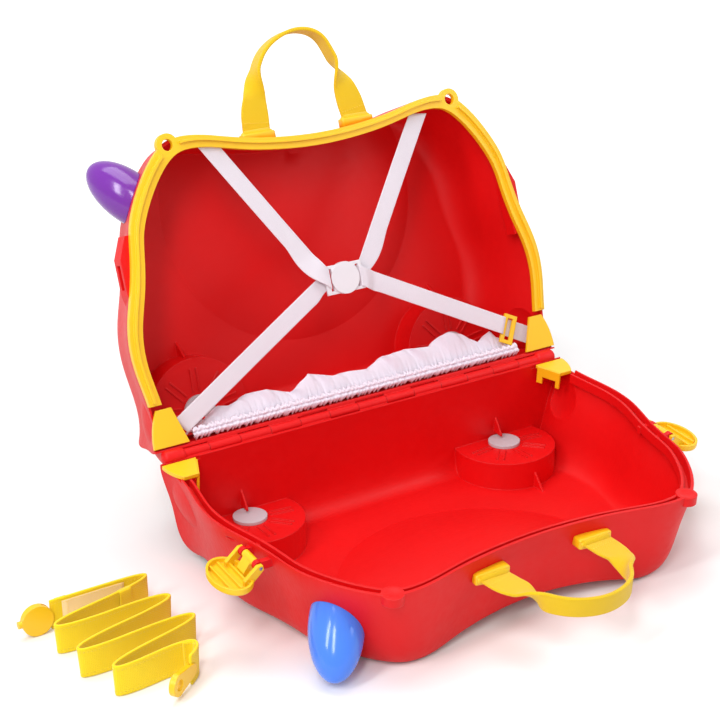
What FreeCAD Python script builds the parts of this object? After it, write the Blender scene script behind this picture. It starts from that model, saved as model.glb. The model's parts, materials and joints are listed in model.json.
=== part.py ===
"""Ride-on suitcase: two hinged half shells with wheels, latches, horns, handles,
crossed straps, a gathered pocket and a loose tow strap.

Every piece is drawn in the frame of the closed case standing on its wheels:
x runs along the case, y runs up from the hinge axis and z runs from the parting
plane out through the base half. The base half is then laid on its side and the
lid is swung open about the hinge.
"""
import math
import os

import FreeCAD
import Part
import Sketcher

Vector = FreeCAD.Vector
doc = FreeCAD.newDocument("ride_on_case")

# Sizes in millimetres and degrees

SIZES = (
    ("half_length", 211.0),
    ("case_height", 247.0),
    ("half_width", 98.0),
    ("depth_hinge_side", 95.0),
    ("depth_saddle_side", 76.0),
    ("saddle_edge_inset", 12.0),
    ("floor_clearance", 0.8),
    ("wall", 2.6),
    ("parting_gap", 0.4),
    ("open_angle", 114.6),
    ("hinge_setback", 92.6),
    ("hinge_wall", 6.0),
    ("hinge_half_span", 194.0),
    ("knuckle_count", 13),
    ("knuckle_radius", 4.5),
    ("knuckle_gap", 0.5),
    ("pin_radius", 1.6),
    ("pin_clearance", 0.05),
    ("stop_clearance", 0.2),
    ("wheel_along", 137.0),
    ("wheel_up", 28.0),
    ("wheel_radius", 43.0),
    ("wheel_width", 29.0),
    ("wheel_clearance", 2.5),
    ("tyre_thickness", 12.0),
    ("axle_radius", 4.0),
    ("axle_clearance", 0.06),
    ("well_floor", 65.0),
    ("axle_disc_radius", 15.0),
    ("axle_disc_thickness", 2.8),
    ("fender_radius", 70.0),
    ("fender_middle", 18.0),
    ("fender_height", 62.0),
    ("fender_drop", 7.0),
    ("dish_radius", 125.0),
    ("dish_depth", 15.0),
    ("trim_width", 11.0),
    ("trim_thickness", 4.8),
    ("trim_end", 45.0),
    ("eyelet_along", 145.0),
    ("eyelet_up", 257.0),
    ("eyelet_radius", 10.0),
    ("eyelet_hole", 5.0),
    ("gusset_thickness", 3.2),
    ("corner_end", 36.0),
    ("latch_along", 208.5),
    ("latch_up", 155.0),
    ("latch_out", 8.0),
    ("latch_length", 49.0),
    ("latch_reach", 33.0),
    ("latch_gap", 1.5),
    ("latch_drop", 11.0),
    ("latch_depth", 6.5),
    ("latch_wall", 2.2),
    ("latch_pin_radius", 1.5),
    ("latch_pin_length", 33.5),
    ("keeper_proud", 5.0),
    ("horn_forward", 171.0),
    ("horn_up", 222.0),
    ("horn_out", 43.4),
    ("horn_half_length", 43.9),
    ("horn_radius", 21.8),
    ("horn_turn", 123.0),
    ("horn_rise", 33.0),
    ("handle_reach", 84.0),
    ("handle_half_width", 51.0),
    ("handle_depth", 17.0),
    ("handle_end_width", 24.0),
    ("handle_grip_width", 17.0),
    ("handle_thickness", 2.6),
    ("handle_bar_radius", 2.4),
    ("handle_bar_up", 8.2),
    ("handle_bar_half", 15.5),
    ("strap_width", 19.0),
    ("strap_thickness", 1.4),
    ("buckle_up", 116.0),
    ("buckle_radius", 14.5),
    ("pocket_half_length", 172.0),
    ("pocket_foot", 15.0),
    ("tow_width", 26.0),
    ("tow_thickness", 2.2),
    ("tow_clip_radius", 13.0),
)

sheet = doc.addObject("Spreadsheet::Sheet", "sizes")
for row, (name, value) in enumerate(SIZES, start=1):
    sheet.set("A%d" % row, name)
    sheet.set("B%d" % row, str(value))
    sheet.setAlias("B%d" % row, name)
doc.recompute()


def size(name):
    """Value of one named size."""
    return float(getattr(sheet, name))


half_length = size("half_length")
case_height = size("case_height")
half_width = size("half_width")
wall = size("wall")
rim = size("parting_gap") / 2
open_angle = size("open_angle")
hinge_wall = size("hinge_wall")


def depth_at(y, skin):
    """Depth of the side panel below the parting plane."""
    slope = (size("depth_hinge_side") - size("depth_saddle_side")) / case_height
    return size("depth_hinge_side") - slope * y - skin


# Where the two halves lie: the base on its wheel faces and the low edge of its
# tapered side panel, the lid swung open. The wheels stand square to that plane.

edge_up = case_height - size("saddle_edge_inset")
panel_lift = half_width - depth_at(edge_up, 0) - size("floor_clearance")
lean = math.atan2(panel_lift, edge_up - size("wheel_up"))
lean_angle = math.degrees(lean)
hinge_height = size("wheel_up") * math.sin(lean) + half_width * math.cos(lean)
hinge_at = Vector(0, size("hinge_setback"), hinge_height)
AXIS = Vector(1, 0, 0)
BASE = FreeCAD.Placement(hinge_at, FreeCAD.Rotation(AXIS, 180 + lean_angle))
LID = FreeCAD.Placement(hinge_at, FreeCAD.Rotation(AXIS, 180 + lean_angle - open_angle))

made = []


def keep(obj, place):
    """Give a finished piece its place and list it for writing."""
    obj.Placement = place
    made.append(obj)
    return obj


def feature(label, shape, place):
    """A piece whose shape is computed from the sheet."""
    solids = shape.Solids
    if len(solids) != 1:
        raise RuntimeError("%s has %d solids" % (label, len(solids)))
    obj = doc.addObject("Part::Feature", label)
    obj.Label = label
    obj.Shape = solids[0]
    return keep(obj, place.multiply(solids[0].Placement))


def mirrored(shape):
    """The same piece on the lid's side of the parting plane."""
    return shape.mirror(Vector(0, 0, 0), Vector(0, 0, 1))


def swapped(shape):
    """The same piece at the other end of the case."""
    return shape.mirror(Vector(0, 0, 0), Vector(1, 0, 0))


def leaned(shape):
    """Turns a wheel piece so that it stands square to the floor under the base."""
    shape.rotate(Vector(0, size("wheel_up"), half_width), AXIS, -lean_angle)
    return shape


def box(x0, x1, y0, y1, z0, z1):
    """Block between two corners."""
    return Part.makeBox(x1 - x0, y1 - y0, z1 - z0, Vector(x0, y0, z0))


def rod(radius, start, end):
    """Round bar between two points."""
    start = Vector(*start)
    along = Vector(*end) - start
    return Part.makeCylinder(radius, along.Length, start, along)


def plate(points, z0, z1):
    """Flat plate with the given outline."""
    corners = [Vector(x, y, z0) for x, y in points]
    face = Part.Face(Part.makePolygon(corners + corners[:1]))
    return face.extrude(Vector(0, 0, z1 - z0))


def turned(label, profile, place):
    """Round piece: a profile of radius and z expressions turned about z."""
    body = doc.addObject("PartDesign::Body", label)
    body.Label = label
    sketch = body.newObject("Sketcher::SketchObject", label + "_profile")
    plane = [o for o in body.Origin.OriginFeatures if o.Role == "XZ_Plane"][0]
    sketch.AttachmentSupport = [(plane, "")]
    sketch.MapMode = "FlatFace"
    count = len(profile)
    for i in range(count):
        start = Vector(10 + i, i * i, 0)
        end = Vector(10 + (i + 1) % count, ((i + 1) % count) ** 2, 0)
        sketch.addGeometry(Part.LineSegment(start, end), False)
    for i in range(count):
        sketch.addConstraint(Sketcher.Constraint("Coincident", i, 2, (i + 1) % count, 1))
    for i, (radius, height) in enumerate(profile):
        for kind, text in (("DistanceX", radius), ("DistanceY", height)):
            number = sketch.addConstraint(Sketcher.Constraint(kind, -1, 1, i, 1, 1.0 + i))
            sketch.setExpression("Constraints[%d]" % number, text)
    turn = body.newObject("PartDesign::Revolution", label + "_turn")
    turn.Profile = sketch
    turn.ReferenceAxis = (sketch, ["V_Axis"])
    turn.Angle = 360
    body.Tip = turn
    return keep(body, place)


def cylinder(label, radius, length, place):
    """Plain round pin with its radius and length taken from the sheet."""
    obj = doc.addObject("Part::Cylinder", label)
    obj.Label = label
    obj.setExpression("Radius", radius)
    obj.setExpression("Height", length)
    return keep(obj, place)


# Rim outline of both halves, as shares of the half length and the case height,
# from the hinge corner up the end, round the eyelet corner to the saddle

OUTLINE = (
    (1.005, 0.00), (0.985, 0.13), (1.015, 0.32), (1.005, 0.45), (0.965, 0.57),
    (0.932, 0.70), (0.912, 0.79), (0.86, 0.89), (0.765, 1.005), (0.69, 1.055),
    (0.60, 1.066), (0.40, 1.035), (0.20, 1.009), (0.0, 1.0),
)


def section(share, ends, top, hinge, skin):
    """Closed outline of the case at a share of its depth, pulled in at each side."""
    low = hinge_wall + hinge + skin
    high = case_height - top - skin
    reach = 1 - (ends + skin) / half_length
    right = []
    for along, up in OUTLINE:
        y = low + (high - low) * up
        right.append(Vector(along * half_length * reach, y, share * depth_at(y, skin)))
    left = [Vector(-p.x, p.y, p.z) for p in right[-2::-1]]
    curve = Part.BSplineCurve()
    curve.interpolate(right + left)
    back = Part.LineSegment(left[-1], right[0])
    return Part.Wire([curve.toShape(), back.toShape()])


# Shares of the depth with how far the ends, the saddle side and the hinge side draw in

LEVELS = (
    (0.30, 6.0, 1.5, 0.0),
    (0.60, 12.5, 3.0, 0.0),
    (0.84, 18.0, 5.0, 2.0),
    (0.95, 24.0, 7.5, 7.0),
    (1.00, 34.0, size("saddle_edge_inset"), 18.0),
)


def hull(skin, first):
    """Rounded half case, drawn in by a skin thickness and starting at a share of depth."""
    slope = LEVELS[0][1] / LEVELS[0][0]
    wires = [section(first, slope * first, 0.0, 0.0, skin)]
    for share, ends, top, hinge in LEVELS:
        wires.append(section(share, ends, top, hinge, skin))
    return Part.makeLoft(wires, True, False)


def dish(skin):
    """Ball that scoops the leg recess out of the side beside the saddle."""
    reach = size("dish_radius")
    ball = (reach ** 2 + size("dish_depth") ** 2) / (2 * size("dish_depth"))
    up = 0.95 * case_height
    out = depth_at(up, 0) - size("dish_depth") + ball
    return Part.makeSphere(ball + skin, Vector(0, up, out))


def fenders(skin, low):
    """Domed bulge round each wheel, cut off at a height above the hinge axis."""
    tall = size("fender_height") - skin
    wide = size("fender_radius") - skin
    arc = Part.ArcOfEllipse(Part.Ellipse(Vector(0, 0, 0), wide, tall), 0, math.pi / 2).toShape()
    if tall > wide:
        raise RuntimeError("a fender is wider than it is deep")
    tip = Vector(0, tall, 0)
    foot = Vector(wide, -size("fender_middle"), 0)
    middle = Vector(0, -size("fender_middle"), 0)
    outline = [arc, Part.makeLine(tip, middle), Part.makeLine(middle, foot),
               Part.makeLine(foot, Vector(wide, 0, 0))]
    dome = Part.Face(Part.Wire(Part.__sortEdges__(outline))).revolve(Vector(0, 0, 0), Vector(0, 1, 0), 360)
    dome.rotate(Vector(0, 0, 0), AXIS, 90)
    dome.translate(Vector(size("wheel_along"), size("wheel_up"), size("fender_middle")))
    dome = dome.common(box(0, 2 * half_length, low, case_height, -1, 2 * half_width))
    return dome.fuse(swapped(dome))


def wheel_posts(radius, z0, z1):
    """Round posts on both wheel centres of one half."""
    post = leaned(rod(radius, (size("wheel_along"), size("wheel_up"), z0),
                      (size("wheel_along"), size("wheel_up"), z1)))
    return post.fuse(swapped(post))


def behind_stop():
    """Space behind the hinge that the other half needs when the case is open."""
    lean = math.radians(90 - open_angle / 2)
    shift = size("stop_clearance") / math.cos(lean)
    far = 2 * half_width
    points = [Vector(0, shift, 0), Vector(0, shift - far * math.tan(lean), far),
              Vector(0, -3 * far, far), Vector(0, -3 * far, -far), Vector(0, shift, -far)]
    face = Part.Face(Part.makePolygon(points + points[:1]))
    solid = face.extrude(Vector(4 * half_length, 0, 0))
    solid.translate(Vector(-2 * half_length, 0, 0))
    return solid


def boss_ribs():
    """Thin ribs and fins on the wheel posts inside the case."""
    top = size("well_floor")
    along = size("wheel_along")
    up = size("wheel_up")
    start = size("axle_disc_radius") + 3
    reach = size("wheel_radius") - 4
    ribs = []
    for angle in (8, 48, 90, 132, 172):
        for side in (-3.0, 3.0):
            rib = box(start, reach, side - 0.7, side + 0.7, top - 1.2, top + 0.5)
            rib.rotate(Vector(0, 0, 0), Vector(0, 0, 1), angle)
            rib.translate(Vector(along, up, 0))
            ribs.append(rib)
    ribs = [leaned(rib) for rib in ribs]
    low = hinge_wall + 1
    clear = top - size("axle_disc_thickness") - 1.5
    fin = [Vector(along - 0.8, low, clear), Vector(along - 0.8, up - 6, clear),
           Vector(along - 0.8, low, clear - 18)]
    ribs.append(Part.Face(Part.makePolygon(fin + fin[:1])).extrude(Vector(1.6, 0, 0)))
    foot = up + size("wheel_radius") + size("wheel_clearance") - 1
    floor = depth_at(foot, wall) + 1
    heel = [Vector(along - 1, foot, top + 6), Vector(along - 1, foot, floor),
            Vector(along - 1, foot + 18, floor)]
    ribs.append(Part.Face(Part.makePolygon(heel + heel[:1])).extrude(Vector(2, 0, 0)))
    both = []
    for rib in ribs:
        both.append(rib)
        both.append(swapped(rib))
    return both


def half_case():
    """One half shell with its wheel wells, before the rim details."""
    top = size("well_floor")
    well = size("wheel_radius") + size("wheel_clearance")
    outer = hull(0, 0).fuse(fenders(0, -size("fender_drop"))).cut(dish(0))
    inner = hull(wall, -0.05).fuse(fenders(wall, hinge_wall + 3.5 * wall)).cut(dish(wall))
    inner = inner.cut(wheel_posts(well + wall, top, 2 * half_width))
    block = outer.cut(wheel_posts(well, top + wall, 2 * half_width))
    shell = block.cut(inner).multiFuse(boss_ribs())
    above_rim = box(-2 * half_length, 2 * half_length, -case_height, 2 * case_height,
                    -half_width, rim)
    hinge_room = rod(size("knuckle_radius") + 0.7, (-2 * half_length, 0, 0),
                     (2 * half_length, 0, 0))
    axle_holes = wheel_posts(size("axle_radius") + 0.03, 0, 2 * half_width)
    return shell.cut([above_rim, behind_stop(), hinge_room, axle_holes])


def ring(ends0, top0, ends1, top1, z0, z1, low):
    """Band that follows the rim between two insets, above a height."""
    def sheet_of(ends, top):
        flat = section(0, ends, top, 0, 0)
        return Part.Face(flat).extrude(Vector(0, 0, z1 - z0))
    band = sheet_of(ends0, top0).cut(sheet_of(ends1, top1))
    band.translate(Vector(0, 0, z0))
    return band.common(box(-half_length * 2, half_length * 2, low, 2 * case_height, z0, z1))


def knuckles(odd):
    """Every second knuckle of the hinge with its web to the case wall."""
    count = int(size("knuckle_count"))
    span = size("hinge_half_span")
    pitch = 2 * span / count
    radius = size("knuckle_radius")
    gap = size("knuckle_gap") / 2
    pieces = []
    for i in range(odd, count, 2):
        x0 = -span + i * pitch + gap
        x1 = -span + (i + 1) * pitch - gap
        pieces.append(rod(radius, (x0, 0, 0), (x1, 0, 0)))
        pieces.append(box(x0, x1, 0, hinge_wall + 1.2, rim + 0.1, radius))
    return pieces


def with_knuckles(shell, odd, bore):
    """Shell with its share of the hinge knuckles, bored for the pin."""
    shell = shell.multiFuse(knuckles(odd))
    span = 2 * half_length
    return shell.cut(rod(bore, (-span, 0, 0), (span, 0, 0)))


# Half shells

latch_up = size("latch_up")
latch_along = size("latch_along")
latch_out = size("latch_out")
latch_bore = size("latch_pin_radius") + 0.04
LUG_IN = 8.5
LUG_OUT = 13.0


def latch_bracket():
    """Two lugs on the end wall that carry a latch pin."""
    lugs = []
    for y0, y1 in ((latch_up - LUG_OUT, latch_up - LUG_IN), (latch_up + LUG_IN, latch_up + LUG_OUT)):
        lugs.append(rod(4.0, (latch_along, y0, latch_out), (latch_along, y1, latch_out)))
        lugs.append(box(latch_along - 16, latch_along, y0, y1, latch_out - 3, latch_out + 4))
    return lugs


def keeper():
    """Raised frame with a slot on the lid's end wall, faired into the wall."""
    face = latch_along - latch_out + size("keeper_proud")
    back = face - 11
    low = rim + size("trim_thickness") + 0.3
    outline = [Vector(back, latch_up - 34, low), Vector(face - 3.5, latch_up - 30, low),
               Vector(face, latch_up - 15.5, low), Vector(face, latch_up + 15.5, low),
               Vector(face - 8, latch_up + 34, low), Vector(back - 4, latch_up + 34, low)]
    block = Part.Face(Part.makePolygon(outline + outline[:1])).extrude(Vector(0, 0, 14))
    return block.cut(box(face - 4, face + 1, latch_up - 10.5, latch_up + 10.5, low + 3.5, low + 10))


def handle_lugs():
    """Four open clips above the saddle that hold the bars of a carry handle."""
    up = case_height + size("handle_bar_up")
    deep = size("handle_depth")
    radius = size("handle_bar_radius")
    thick = radius + 1.9
    lugs = []
    for along in (size("handle_half_width") - 10, size("handle_half_width") + 5):
        lug = rod(thick, (along, up, deep), (along + 5, up, deep))
        lug = lug.fuse(box(along, along + 5, case_height - 1, up, deep - thick, deep + thick))
        lug = lug.cut(rod(radius + 0.08, (along - 1, up, deep), (along + 6, up, deep)))
        lug = lug.cut(box(along - 1, along + 6, up + 0.7, up + 10, deep - 9, deep + 9))
        lugs.append(lug)
        lugs.append(swapped(lug))
    return lugs


shared = half_case().multiFuse(handle_lugs())

ledge = ring(3.0, 1.4, 9.0, 8.2, 8.0, 10.2, 38.0)
rib = ring(7.0, 6.3, 9.0, 8.2, 1.2, 10.2, 38.0)
nub = rod(size("eyelet_radius") - 1, (size("eyelet_along"), size("eyelet_up"), rim + 0.1),
          (size("eyelet_along"), size("eyelet_up"), 8))
nub_dimple = Part.makeSphere(26, Vector(size("eyelet_along"), size("eyelet_up"), rim + 0.9 - 26))
lugs = latch_bracket()
base = shared.multiFuse([ledge, rib, nub, swapped(nub)] + lugs + [swapped(lug) for lug in lugs])
latch_hole = rod(latch_bore, (latch_along, latch_up - 40, latch_out),
                 (latch_along, latch_up + 40, latch_out))
seat = box(0.835 * half_length, 2 * half_length, hinge_wall + 1.3, size("corner_end"), -1,
           rim + size("gusset_thickness") + 0.3)
cuts = (nub_dimple, latch_hole, seat)
base = base.cut([piece for piece in cuts] + [swapped(piece) for piece in cuts])
base = with_knuckles(base, 0, size("pin_radius") + 0.02)
feature("base_shell", base, BASE)

trim_seat = box(-2 * half_length, 2 * half_length, size("trim_end") - 0.3, 2 * case_height, -1,
                rim + size("trim_thickness") + 0.1)
corner_seat = box(0.82 * half_length, 2 * half_length, hinge_wall + 1.3, size("trim_end") + 1, -1,
                  rim + size("gusset_thickness") + 0.3)
lid = shared.cut([trim_seat, corner_seat, swapped(corner_seat)])
lid = lid.multiFuse([keeper(), swapped(keeper())])
lid = with_knuckles(lid, 1, size("pin_radius") + size("pin_clearance"))
feature("lid_shell", mirrored(lid), LID)

pin_turn = FreeCAD.Rotation(Vector(0, 1, 0), 90)
cylinder("hinge_pin", "sizes.pin_radius", "2 * sizes.hinge_half_span",
         BASE.multiply(FreeCAD.Placement(Vector(-size("hinge_half_span"), 0, 0), pin_turn)))

# Lid trim with the two eyelets

trim = ring(0.2, 0.2, size("trim_width") + 0.5, size("trim_width"), rim,
            rim + size("trim_thickness"), size("trim_end"))
tongue = ring(3.9, 3.4, 6.2, 5.5, rim - 3.0, rim + 1.0, size("trim_end") + 2)
eyelet = rod(size("eyelet_radius"), (size("eyelet_along"), size("eyelet_up"), rim),
             (size("eyelet_along"), size("eyelet_up"), rim + size("trim_thickness")))
eyelet_hole = rod(size("eyelet_hole"), (size("eyelet_along"), size("eyelet_up"), -20),
                  (size("eyelet_along"), size("eyelet_up"), 40))
clear = rod(size("eyelet_radius") + 1, (size("eyelet_along"), size("eyelet_up"), -20),
            (size("eyelet_along"), size("eyelet_up"), rim))
tongue = tongue.cut(clear).cut(swapped(clear))
trim = trim.fuse(tongue).fuse(eyelet).fuse(swapped(eyelet))
trim = trim.cut(eyelet_hole).cut(swapped(eyelet_hole))
feature("lid_trim", mirrored(trim), LID)

# Corner pieces at the hinge ends

def corner_plate(inner_low, inner_high, outer_high, top):
    """Flat corner with a straight inner side and a rounded outer side."""
    low = 9.0
    points = [Vector(half_length + 1, low, rim), Vector(inner_low, low, rim),
              Vector(inner_high, top, rim), Vector(outer_high, top, rim)]
    bulge = Vector((half_length + outer_high) / 2 + 2.6, (low + top) / 2, rim)
    edges = [Part.makeLine(points[0], points[1]), Part.makeLine(points[1], points[2]),
             Part.makeLine(points[2], points[3]),
             Part.Arc(points[3], bulge, points[0]).toShape()]
    return Part.Face(Part.Wire(edges)).extrude(Vector(0, 0, size("gusset_thickness")))


gusset = corner_plate(0.85 * half_length, 0.90 * half_length, 0.965 * half_length,
                      size("trim_end") - 4)
feature("lid_corner_rear", mirrored(gusset), LID)
feature("lid_corner_front", mirrored(swapped(gusset)), LID)


def base_corner():
    """Corner plate with a two-legged clip that hangs from its inner side."""
    start = Vector(0.857 * half_length, 10.0, 0)
    end = Vector(0.905 * half_length, size("corner_end") - 2.0, 0)
    corner = corner_plate(start.x, end.x, 0.965 * half_length, end.y)
    run = (end - start).Length
    deep = 17.0
    clip = box(1, run - 1, 0, 2.2, rim + 0.5, deep)
    clip = clip.cut(box(7, run - 5, -1, 3, 10, deep + 1))
    clip = clip.fuse(box(1, 4.5, -2.2, 2.2, deep - 3, deep))
    clip.rotate(Vector(0, 0, 0), Vector(0, 0, 1), math.degrees(math.atan2(end.y - start.y, end.x - start.x)))
    clip.translate(start + Vector(1.4, 0, 0))
    return corner.fuse(clip)


feature("base_corner_rear", base_corner(), BASE)
feature("base_corner_front", swapped(base_corner()), BASE)


# Latches, drawn flipped open at the rear end

def oval(inset, z0, z1):
    """Oval block of the latch plate, drawn in by an inset, between two depths below the pin."""
    length = size("latch_length") / 2 - inset
    reach = size("latch_reach") / 2 - inset
    curve = Part.Ellipse(Vector(0, length, 0), Vector(reach, 0, 0), Vector(0, 0, 0))
    block = Part.Face(Part.Wire(curve.toShape())).extrude(Vector(0, 0, z1 - z0))
    block.translate(Vector(latch_along + size("latch_gap") + size("latch_reach") / 2, latch_up, latch_out + z0))
    return block


def web(points, y0, y1):
    """Flat web of the latch with an outline of reach and depth from the pin."""
    corners = [Vector(latch_along + x, latch_up + y0, latch_out + z) for x, z in points]
    return Part.Face(Part.makePolygon(corners + corners[:1])).extrude(Vector(0, y1 - y0, 0))


def latch():
    """Oval ribbed dish that hangs from a pin by a barrel and two ears."""
    drop = size("latch_drop")
    skin = size("latch_wall")
    rim_at = drop - size("latch_depth") / 2
    foot_at = drop + size("latch_depth") / 2
    dish_out = oval(0, rim_at, foot_at)
    low_edge = max(dish_out.Edges, key=lambda edge: edge.BoundBox.ZMin)
    dish_out = dish_out.makeFillet(0.45 * size("latch_depth"), [low_edge])
    solid = dish_out.cut(oval(skin, rim_at - 1, foot_at - skin))
    middle = size("latch_reach") / 2
    for share in (-0.45, 0.0, 0.45):
        half = 0.9 * (size("latch_length") / 2 - skin) * math.sqrt(1 - share * share)
        at = size("latch_gap") + middle + share * middle
        solid = solid.fuse(web(((at - 0.9, rim_at + 1.2), (at + 0.9, rim_at + 1.2),
                                (at + 0.9, foot_at - 1), (at - 0.9, foot_at - 1)), -half, half))
    solid = solid.fuse(rod(3.4, (latch_along, latch_up - LUG_IN + 0.4, latch_out),
                           (latch_along, latch_up + LUG_IN - 0.4, latch_out)))
    arm = ((-2.4, 2.2), (2.0, -2.4), (9.0, rim_at), (9.0, foot_at - 1), (5.0, foot_at - 1))
    solid = solid.fuse(web(arm, -5.5, 5.5))
    ear = ((-2.6, 1.6), (-1.6, -2.6), (2.6, -2.6), (14.0, rim_at), (14.0, foot_at - 1), (9.0, foot_at - 1))
    for y0, y1 in ((-LUG_OUT - 3.9, -LUG_OUT - 0.5), (LUG_OUT + 0.5, LUG_OUT + 3.9)):
        solid = solid.fuse(web(ear, y0, y1))
    return solid.cut(rod(size("latch_pin_radius") + 0.06, (latch_along, latch_up - 60, latch_out),
                         (latch_along, latch_up + 60, latch_out)))


rear_latch = latch()
feature("latch_rear", rear_latch, BASE)
feature("latch_front", swapped(rear_latch), BASE)
for label, side in (("latch_pin_rear", 1), ("latch_pin_front", -1)):
    at = Vector(side * latch_along, latch_up - size("latch_pin_length") / 2, latch_out)
    cylinder(label, "sizes.latch_pin_radius", "sizes.latch_pin_length",
             BASE.multiply(FreeCAD.Placement(at, FreeCAD.Rotation(Vector(1, 0, 0), -90))))


# Horns on the front end wall

def horn():
    """Egg that leans forward and out of the front corner, let into the shell."""
    arc = Part.ArcOfEllipse(Part.Ellipse(Vector(0, 0, 0), size("horn_half_length"), size("horn_radius")),
                            0, math.pi).toShape()
    axis = Part.makeLine(arc.Vertexes[1].Point, arc.Vertexes[0].Point)
    solid = Part.Face(Part.Wire([arc, axis])).revolve(Vector(0, 0, 0), AXIS, 360)
    turn = math.radians(size("horn_turn"))
    rise = math.radians(size("horn_rise"))
    along = Vector(math.cos(turn) * math.cos(rise), math.sin(turn) * math.cos(rise), math.sin(rise))
    place = FreeCAD.Placement(Vector(-size("horn_forward"), size("horn_up"), size("horn_out")),
                              FreeCAD.Rotation(AXIS, along))
    solid = solid.transformGeometry(place.toMatrix())
    return solid.cut(hull(-0.05, 0))


horn_shape = horn()
feature("horn_base", horn_shape, BASE)
feature("horn_lid", mirrored(horn_shape), LID)


# Sheets of even thickness, for straps and cloth

def cloth(point_at, rows, columns, thickness):
    """Closed sheet of even thickness on a surface given by a function of two shares."""
    step = 0.002
    near, far = [], []
    for i in range(rows + 1):
        near.append([])
        far.append([])
        for j in range(columns + 1):
            a, b = i / rows, j / columns
            at = point_at(a, b)
            along = point_at(min(a + step, 1), b) - point_at(max(a - step, 0), b)
            across = point_at(a, min(b + step, 1)) - point_at(a, max(b - step, 0))
            normal = along.cross(across).normalize()
            near[-1].append(at - normal * (thickness / 2))
            far[-1].append(at + normal * (thickness / 2))
    faces = []
    for grid in (near, far):
        surface = Part.BSplineSurface()
        surface.interpolate(grid)
        faces.append(surface.toShape())
    sides = ((lambda g: g[0]), (lambda g: g[-1]), (lambda g: [r[0] for r in g]),
             (lambda g: [r[-1] for r in g]))
    for side in sides:
        ends = []
        for face, grid in zip(faces, (near, far)):
            middle = side(grid)[len(side(grid)) // 2]
            ends.append(min(face.Edges, key=lambda e: e.distToShape(Part.Vertex(middle))[0]))
        faces.append(Part.makeRuledSurface(ends[0], ends[1]))
    shell = Part.Shell(faces)
    shell.sewShape()
    solid = Part.Solid(shell)
    if solid.Volume < 0:
        solid.reverse()
    return solid


# Carry handles: a strap loop, flat at its ends and turned on edge in the grip

handle_foot = case_height + size("handle_bar_up")


def ease(value):
    """Smooth step from 0 to 1."""
    value = max(0.0, min(1.0, value))
    return value * value * (3 - 2 * value)


def handle_point(a, b):
    """Point on the middle of the strap, by shares of its length and width."""
    turn = math.pi * a
    side = size("handle_half_width")
    reach = size("handle_reach")
    at = Vector(-side * math.cos(turn), handle_foot + reach * math.sin(turn), size("handle_depth"))
    along = Vector(side * math.sin(turn), reach * math.cos(turn), 0).normalize()
    in_plane = Vector(along.y, -along.x, 0)
    near_end = min(a, 1 - a)
    twist = math.pi / 2 * ease((near_end - 0.16) / 0.14)
    wide = in_plane * math.cos(twist) + Vector(0, 0, 1) * math.sin(twist)
    flare = ease(near_end / 0.2)
    width = size("handle_end_width") * (1 - flare) + size("handle_grip_width") * flare
    return at + wide * (width * (b - 0.5))


def handle():
    """Strap loop with a bar across each end."""
    loop = cloth(handle_point, 48, 4, size("handle_thickness"))
    half = size("handle_bar_half")
    for x in (-size("handle_half_width"), size("handle_half_width")):
        loop = loop.fuse(rod(size("handle_bar_radius"), (x - half, handle_foot, size("handle_depth")),
                             (x + half, handle_foot, size("handle_depth"))))
    return loop


handle_shape = handle()
feature("handle_base", handle_shape, BASE)
feature("handle_lid", mirrored(handle_shape), LID)

# Wheels, axles and the discs that hold the axles inside

tyre_in = "sizes.wheel_radius - sizes.tyre_thickness"
near = "sizes.half_width - sizes.wheel_width"
HUB = (
    ("sizes.axle_radius + sizes.axle_clearance", near),
    (tyre_in + " - 0.05", near),
    (tyre_in + " - 0.05", "sizes.half_width - 1"),
    (tyre_in + " - 5", "sizes.half_width - 1"),
    (tyre_in + " - 8", "sizes.half_width - 5"),
    ("sizes.axle_radius + 6", "sizes.half_width - 5"),
    ("sizes.axle_radius + sizes.axle_clearance", "sizes.half_width - 5"),
)
TYRE = (
    (tyre_in, near),
    ("sizes.wheel_radius - 3", near),
    ("sizes.wheel_radius", near + " + 4"),
    ("sizes.wheel_radius", "sizes.half_width - 4"),
    ("sizes.wheel_radius - 3", "sizes.half_width"),
    (tyre_in, "sizes.half_width"),
)
AXLE = (
    ("0", "sizes.well_floor - 1.2"),
    ("sizes.axle_radius", "sizes.well_floor - 1.2"),
    ("sizes.axle_radius", "sizes.half_width - 4.9"),
    ("sizes.axle_radius + 4", "sizes.half_width - 4.9"),
    ("sizes.axle_radius + 4", "sizes.half_width - 3"),
    ("0", "sizes.half_width - 3"),
)
disc_top = "sizes.well_floor - 1.25 + 1.2 - sizes.axle_disc_thickness"
DISC = (
    ("0", disc_top),
    ("sizes.axle_disc_radius", disc_top),
    ("sizes.axle_disc_radius", "sizes.well_floor - 0.02"),
    ("sizes.axle_radius + 0.03", "sizes.well_floor - 0.02"),
    ("sizes.axle_radius + 0.03", "sizes.well_floor - 1.25"),
    ("0", "sizes.well_floor - 1.25"),
)
turn_over = FreeCAD.Rotation(Vector(0, 1, 0), 180)
for end, side in (("front", -1), ("rear", 1)):
    pivot = FreeCAD.Placement(Vector(side * size("wheel_along"), size("wheel_up"), half_width),
                              FreeCAD.Rotation(AXIS, -lean_angle))
    drawn = FreeCAD.Placement(Vector(0, 0, -half_width), FreeCAD.Rotation())
    upright = pivot.multiply(drawn)
    pivot_lid = FreeCAD.Placement(Vector(side * size("wheel_along"), size("wheel_up"), -half_width),
                                  FreeCAD.Rotation(AXIS, lean_angle))
    drawn_lid = FreeCAD.Placement(Vector(0, 0, half_width), turn_over)
    upright_lid = pivot_lid.multiply(drawn_lid)
    for half, place in (("base", BASE.multiply(upright)), ("lid", LID.multiply(upright_lid))):
        name = "%s_%s" % (half, end)
        turned("wheel_hub_" + name, HUB, place)
        turned("tyre_" + name, TYRE, place)
        turned("axle_" + name, AXLE, place)
        turned("axle_disc_" + name, DISC, place)

# Crossed elastic straps with their centre buckle and clip

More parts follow.
